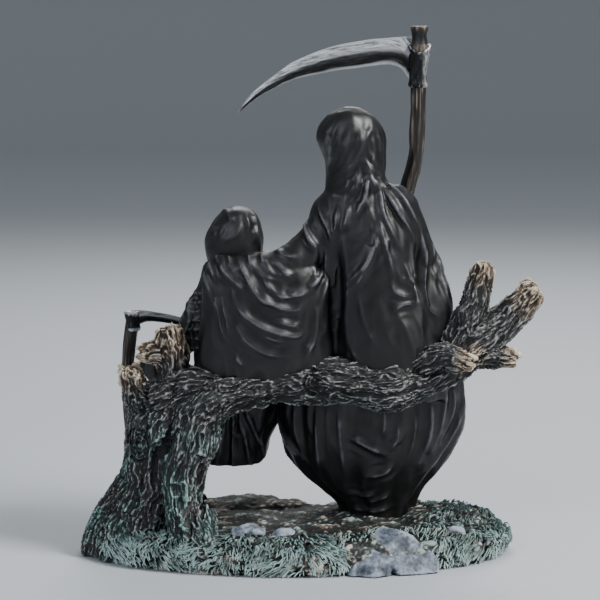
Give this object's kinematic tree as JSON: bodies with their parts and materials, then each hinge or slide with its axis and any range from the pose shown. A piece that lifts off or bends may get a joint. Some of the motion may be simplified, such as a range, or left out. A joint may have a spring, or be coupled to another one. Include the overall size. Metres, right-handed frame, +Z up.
{
  "type": "grim reaper figurine",
  "caption": "Cast figurine of a hooded adult and child seated on a bare tree branch over a grassy oval ground, seen from behind, each with a loose scythe held in one fist.",
  "frame": {"origin": "on the flat underside, below the branch, midway between the two figures' seats and the ground's long sides", "axes": "+Z up, +Y the way the two figures look, +X along the branch from the trunk to its broken end"},
  "size_m": [0.2127, 0.1004, 0.243],
  "materials": {
    "painted_casting": "satin black painted resin with dry-brushed bark, grass and stones",
    "scythe_pewter": "antique pewter blade, dark brown shaft"
  },
  "bodies": {
    "root": {"reapers_tree_and_base": "painted_casting", "reaper_scythe": "scythe_pewter", "child_scythe": "scythe_pewter"}
  },
  "joints": []
}
